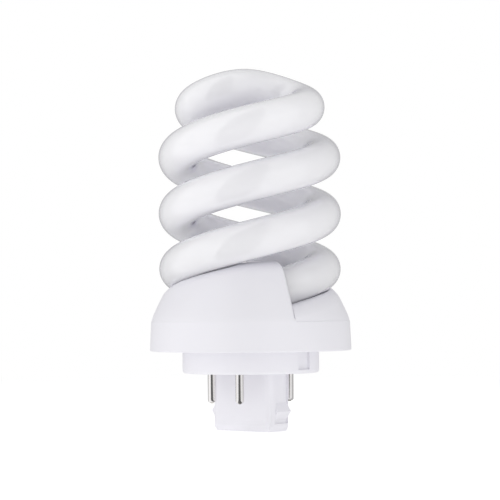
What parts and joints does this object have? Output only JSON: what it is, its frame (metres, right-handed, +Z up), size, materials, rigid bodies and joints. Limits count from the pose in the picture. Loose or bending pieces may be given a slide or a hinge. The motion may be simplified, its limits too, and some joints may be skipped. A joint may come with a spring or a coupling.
{
  "type": "compact fluorescent lamp",
  "caption": "Plug-in compact fluorescent lamp: milky spiral glass tube on a hooded white housing, with a keyed post and contact pins.",
  "frame": {"origin": "the middle of the post's foot, which the lamp stands on", "axes": "+Z runs up the lamp's axis to the crown of the tube; +X runs along the post's wide sides; +Y runs across the post"},
  "size_m": [0.0562, 0.0562, 0.1012],
  "materials": {
    "milky_glass": "phosphor-coated glass, milky and glossy",
    "cover_plastic": "moulded white plastic, satin",
    "base_plastic": "moulded white plastic, satin",
    "plated_pin": "nickel-plated brass, bright",
    "tinned_wire": "tinned copper wire",
    "glass_sleeve": "woven glass-fibre sleeve",
    "cement": "set cement, matt"
  },
  "bodies": {
    "root": {"discharge_tube": "milky_glass", "tube_cover": "cover_plastic", "closing_plate": "cover_plastic", "plug_base": "base_plastic", "contact_pin_1": "plated_pin", "contact_pin_2": "plated_pin", "contact_pin_3": "plated_pin", "contact_pin_4": "plated_pin", "lead_wire_1": "tinned_wire", "lead_wire_2": "tinned_wire", "lead_wire_3": "tinned_wire", "lead_wire_4": "tinned_wire", "wire_sleeve_1": "glass_sleeve", "wire_sleeve_2": "glass_sleeve", "wire_sleeve_3": "glass_sleeve", "wire_sleeve_4": "glass_sleeve", "tube_cement_1": "cement", "tube_cement_2": "cement"}
  },
  "joints": []
}
